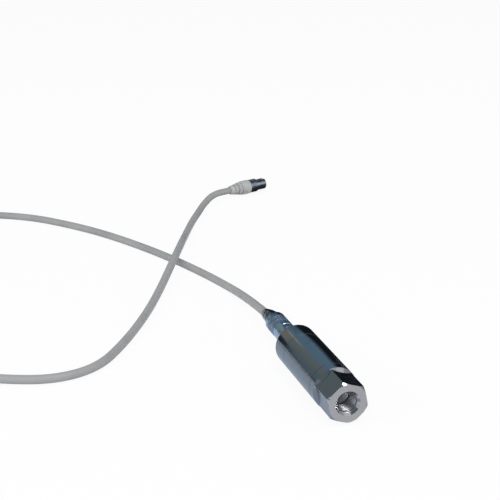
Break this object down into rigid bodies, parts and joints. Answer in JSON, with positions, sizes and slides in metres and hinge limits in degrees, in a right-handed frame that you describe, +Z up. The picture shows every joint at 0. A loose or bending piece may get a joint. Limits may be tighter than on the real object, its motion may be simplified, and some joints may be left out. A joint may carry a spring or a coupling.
{
  "type": "pressure sensor",
  "caption": "Cylindrical steel pressure sensor with a hexagon end, a female threaded port, a fluted cable gland, and a thin lead with a round pin plug on its end.",
  "frame": {"origin": "on the floor, half way between the port's face and the strain boot's tip, under the sensor's axis, with the sensor lying on its side", "axes": "+X along the sensor's axis towards the port, +Z up, +Y to the side on which the lead's plug lies"},
  "size_m": [0.4486, 0.3338, 0.026],
  "materials": {
    "polished_steel": "turned and polished, with fine turning lines",
    "o_ring_rubber": "moulded, matt black",
    "capsule_steel": "fine turned",
    "diaphragm_foil": "rolled foil, bright",
    "ceramic": "fired, matt white",
    "sealing_glass": "fused glass",
    "silicon": "polished silicon",
    "gold_plate": "thin gold plating",
    "board_laminate": "green solder mask",
    "link_film": "amber film",
    "chip_resin": "moulded resin",
    "capacitor_body": "moulded resin",
    "resistor_body": "glazed black",
    "carrier_plastic": "natural moulded",
    "lead_jacket": "smooth satin jacket",
    "tinned_copper": "crimped, tinned",
    "wire_insulation": "coloured insulation",
    "gasket_rubber": "moulded, matt",
    "gland_plate": "nickel plate, fluted and worn",
    "boot_rubber": "glossy moulded black",
    "tie_fabric": "woven hook-and-loop strap",
    "plug_rubber": "moulded, satin",
    "plug_plate": "nickel plate",
    "insert_plastic": "moulded"
  },
  "bodies": {
    "root": {"port_fitting": "polished_steel", "housing_tube": "polished_steel", "rear_cap": "polished_steel", "rear_cap_o_ring": "o_ring_rubber", "capsule_o_ring": "o_ring_rubber", "capsule_header": "capsule_steel", "isolation_diaphragm": "diaphragm_foil", "diaphragm_weld_ring": "capsule_steel", "ceramic_spacer": "ceramic", "glass_pedestal": "sealing_glass", "sensing_die": "silicon", "header_pins": "gold_plate", "pin_glass_seals": "sealing_glass", "fill_ball": "capsule_steel", "capsule_retainer": "capsule_steel", "pin_board": "board_laminate", "flexible_link": "link_film", "circuit_board": "board_laminate", "board_chips": "chip_resin", "board_capacitors": "capacitor_body", "board_resistors": "resistor_body", "board_carrier": "carrier_plastic", "lead_inlet": "lead_jacket", "lead_ferrule": "tinned_copper", "lead_conductors": "wire_insulation", "gland_gasket": "gasket_rubber", "gland_body": "gland_plate", "gland_grommet": "gasket_rubber", "gland_washer": "capsule_steel", "gland_nut": "gland_plate", "strain_boot": "boot_rubber", "sensor_lead": "lead_jacket", "lead_coil": "lead_jacket", "coil_tie": "tie_fabric", "plug_lead": "lead_jacket", "plug_boot": "plug_rubber", "plug_cord_end": "lead_jacket", "plug_collar": "plug_plate", "plug_shell": "plug_plate", "plug_insert": "insert_plastic", "plug_pins": "gold_plate", "plug_conductors": "wire_insulation"}
  },
  "joints": []
}
